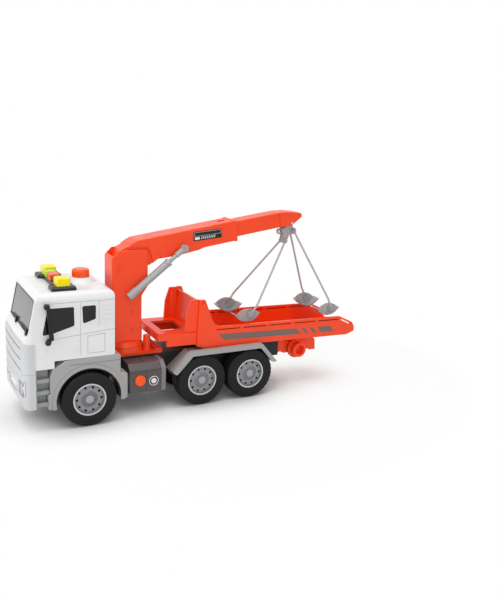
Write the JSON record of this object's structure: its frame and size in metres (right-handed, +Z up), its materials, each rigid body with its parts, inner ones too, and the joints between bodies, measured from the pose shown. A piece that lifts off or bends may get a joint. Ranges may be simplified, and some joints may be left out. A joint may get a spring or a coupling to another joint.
{
  "type": "toy tow truck",
  "caption": "Toy tow truck with a hollow cab, a slewing crane whose boom lifts and extends, hanging wheel trays and an open bed that slides back and tilts.",
  "frame": {"origin": "on the floor, below the middle of the bounding box", "axes": "+X forward towards the cab's nose, +Y to the truck's left side, +Z up"},
  "size_m": [0.427, 0.116, 0.222],
  "materials": {
    "white_shell": "gloss",
    "red_shell": "gloss",
    "grey_trim": "satin",
    "step_grey": "satin",
    "box_grey": "satin",
    "black_trim": "gloss",
    "rim_plastic": "satin",
    "tyre": "matt",
    "steel": "satin",
    "silver_plastic": "satin",
    "smoke_plastic": "gloss",
    "window": "gloss",
    "lens_yellow": "gloss",
    "lens_green": "gloss",
    "lens_orange": "gloss",
    "button_orange": "gloss"
  },
  "bodies": {
    "chassis": {"chassis_frame": "black_trim", "cab_shell": "white_shell", "windscreen": "window", "side_windows": "window", "grille": "grey_trim", "bumper": "grey_trim", "fender_left": "grey_trim", "fender_right": "grey_trim", "steps": "step_grey", "light_bar_base": "black_trim", "light_lens_yellow": "lens_yellow", "light_lens_green": "lens_green", "light_lens_orange": "lens_orange", "roof_button": "lens_orange", "mirrors": "black_trim", "control_box_left": "box_grey", "control_box_right": "box_grey", "box_end_caps": "box_grey", "sound_button": "button_orange", "mudguard_left": "grey_trim", "mudguard_right": "grey_trim", "mudguard_strips": "grey_trim", "crane_base": "red_shell", "rear_bracket": "red_shell"},
    "front_wheels": {"axle_front": "steel", "rims_front": "rim_plastic", "tyres_front": "tyre"},
    "middle_wheels": {"axle_middle": "steel", "rims_middle": "rim_plastic", "tyres_middle": "tyre"},
    "rear_wheels": {"axle_rear": "steel", "rims_rear": "rim_plastic", "tyres_rear": "tyre"},
    "crane": {"mast": "red_shell", "boom_pin": "steel"},
    "boom": {"boom_outer": "red_shell"},
    "boom_extension": {"boom_inner": "red_shell", "hook_pin": "steel"},
    "hook_gear": {"hook_block": "smoke_plastic", "sling_front_left": "smoke_plastic", "sling_front_right": "smoke_plastic", "sling_rear_left": "smoke_plastic", "sling_rear_right": "smoke_plastic", "tray_front": "smoke_plastic", "tray_rear": "smoke_plastic"},
    "cylinder": {"ram_barrel": "silver_plastic"},
    "cylinder_rod": {"ram_rod": "silver_plastic"},
    "knob": {"bed_knob": "red_shell"},
    "cradle": {"bed_cradle": "red_shell"},
    "bed": {"bed_tub": "red_shell", "headboard": "red_shell"}
  },
  "joints": [
    {"name": "front_wheels_spin", "type": "hinge", "parent": "chassis", "child": "front_wheels", "pos_m": [0.1435, 0, 0.0305], "axis": [0, 1, 0], "continuous": true},
    {"name": "middle_wheels_spin", "type": "hinge", "parent": "chassis", "child": "middle_wheels", "pos_m": [0.0068, 0, 0.0305], "axis": [0, 1, 0], "continuous": true},
    {"name": "rear_wheels_spin", "type": "hinge", "parent": "chassis", "child": "rear_wheels", "pos_m": [-0.057, 0, 0.0305], "axis": [0, 1, 0], "continuous": true},
    {"name": "crane_slew", "type": "hinge", "parent": "chassis", "child": "crane", "pos_m": [0.08775, 0, 0.0665], "axis": [0, 0, 1], "range_deg": [-100, 100]},
    {"name": "boom_lift", "type": "hinge", "parent": "crane", "child": "boom", "pos_m": [0.1001, 0, 0.165], "axis": [0, 1, 0], "range_deg": [0, 25]},
    {"name": "boom_extend", "type": "slide", "parent": "boom", "child": "boom_extension", "axis": [-0.988, 0, 0.1547], "range_m": [0, 0.04]},
    {"name": "hook_level", "type": "hinge", "parent": "boom_extension", "child": "hook_gear", "pos_m": [-0.1245, 0, 0.208], "axis": [0, 1, 0], "range_deg": [-25, 0]},
    {"name": "cylinder_tilt", "type": "hinge", "parent": "crane", "child": "cylinder", "pos_m": [0.0852, 0.0184, 0.135], "axis": [0, 1, 0], "range_deg": [0, 21.51]},
    {"name": "cylinder_rod_slide", "type": "slide", "parent": "cylinder", "child": "cylinder_rod", "axis": [-0.7825, 0, 0.6227], "range_m": [0, 0.01357]},
    {"name": "knob_turn", "type": "hinge", "parent": "chassis", "child": "knob", "pos_m": [-0.134, 0, 0.048], "axis": [0, 1, 0], "continuous": true},
    {"name": "bed_tilt", "type": "hinge", "parent": "chassis", "child": "cradle", "pos_m": [-0.134, 0, 0.048], "axis": [0, -1, 0], "range_deg": [0, 12.5]},
    {"name": "bed_slide", "type": "slide", "parent": "cradle", "child": "bed", "axis": [-0.9998, 0, -0.0209], "range_m": [0, 0.037]}
  ],
  "couplings": [
    {"joint": "hook_level", "follows": "boom_lift", "ratio": -1},
    {"joint": "cylinder_tilt", "follows": "boom_lift", "ratio": 0.8599},
    {"joint": "cylinder_rod_slide", "follows": "boom_lift", "m_per_rad": 0.03106}
  ]
}
